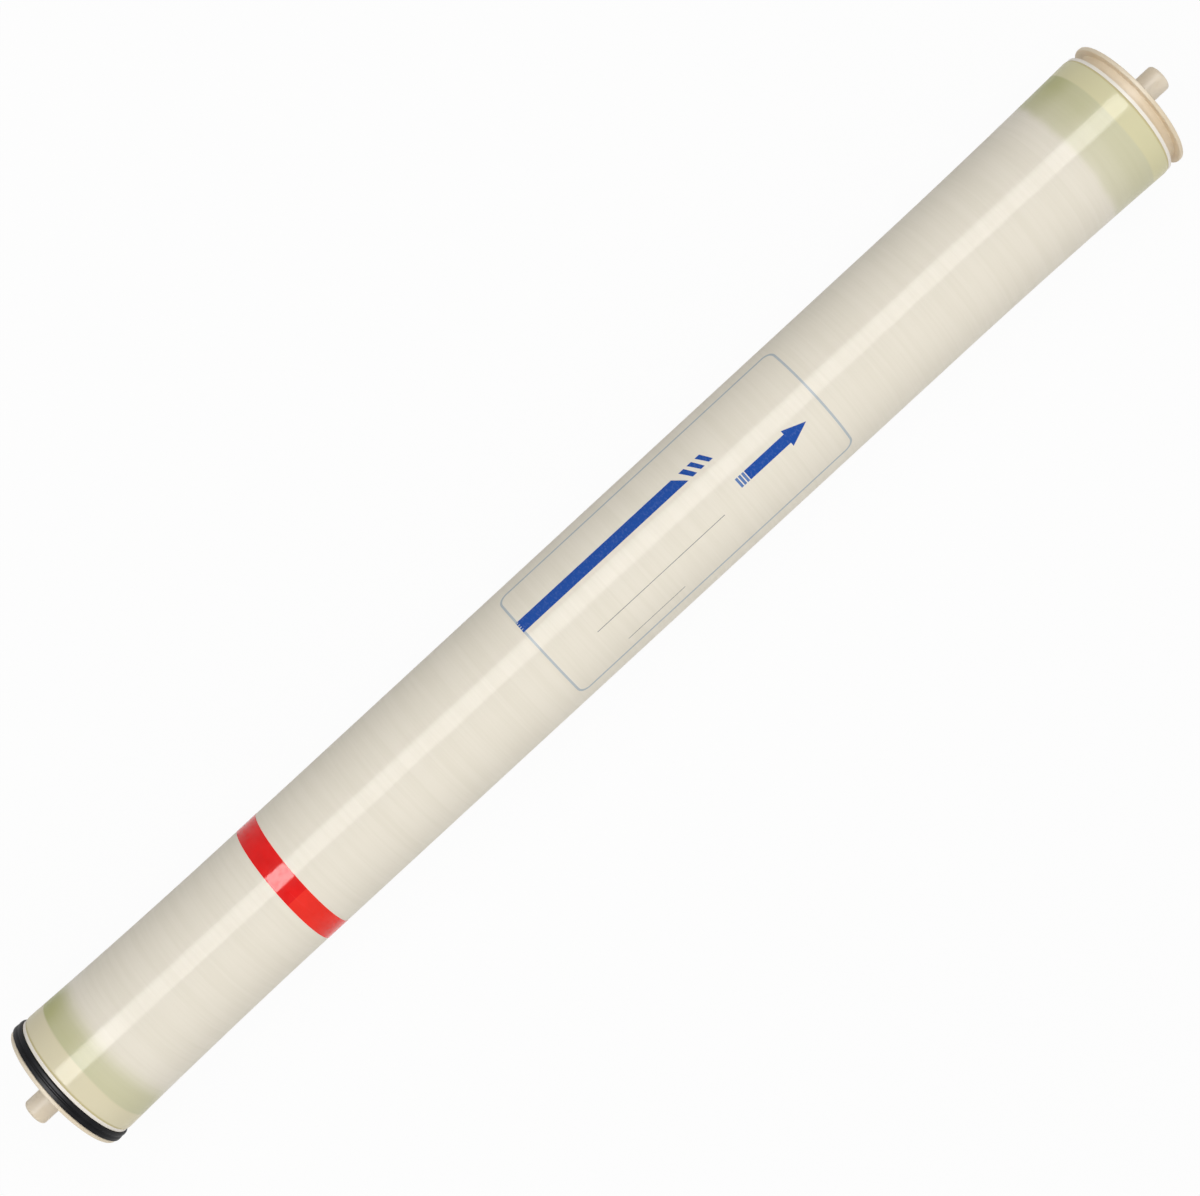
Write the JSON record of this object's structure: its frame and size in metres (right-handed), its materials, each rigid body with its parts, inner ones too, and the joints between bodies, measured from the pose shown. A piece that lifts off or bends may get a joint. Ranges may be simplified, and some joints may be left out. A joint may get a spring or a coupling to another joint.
{
  "type": "reverse osmosis membrane element",
  "caption": "Spiral-wound reverse osmosis element: glass-fibre shell, spoked end caps, brine seal and a tube standing out at both ends.",
  "frame": {"origin": "middle of the element, on its axis", "axes": "+X along the axis from the feed end, where the brine seal is, to the brine end; +Z through the middle of the label"},
  "size_m": [1.016, 0.1016, 0.1016],
  "materials": {
    "tube_plastic": "smooth moulded plastic",
    "tape": "plain tape",
    "fibreglass": "wound glass fibre in clear glossy resin",
    "cap_plastic": "smooth moulded plastic",
    "seal_rubber": "satin moulded rubber",
    "red_film": "printed film under clear resin",
    "label_film": "printed film under clear resin",
    "membrane": "layered sheet and netting"
  },
  "bodies": {
    "root": {"brine_seal": "seal_rubber", "closing_tape": "tape", "colour_band": "red_film", "end_caps": "cap_plastic", "fibreglass_shell": "fibreglass", "label_film": "label_film", "membrane_leaf_1": "membrane", "membrane_leaf_2": "membrane", "membrane_leaf_3": "membrane", "membrane_leaf_4": "membrane", "permeate_tube": "tube_plastic"}
  },
  "joints": []
}
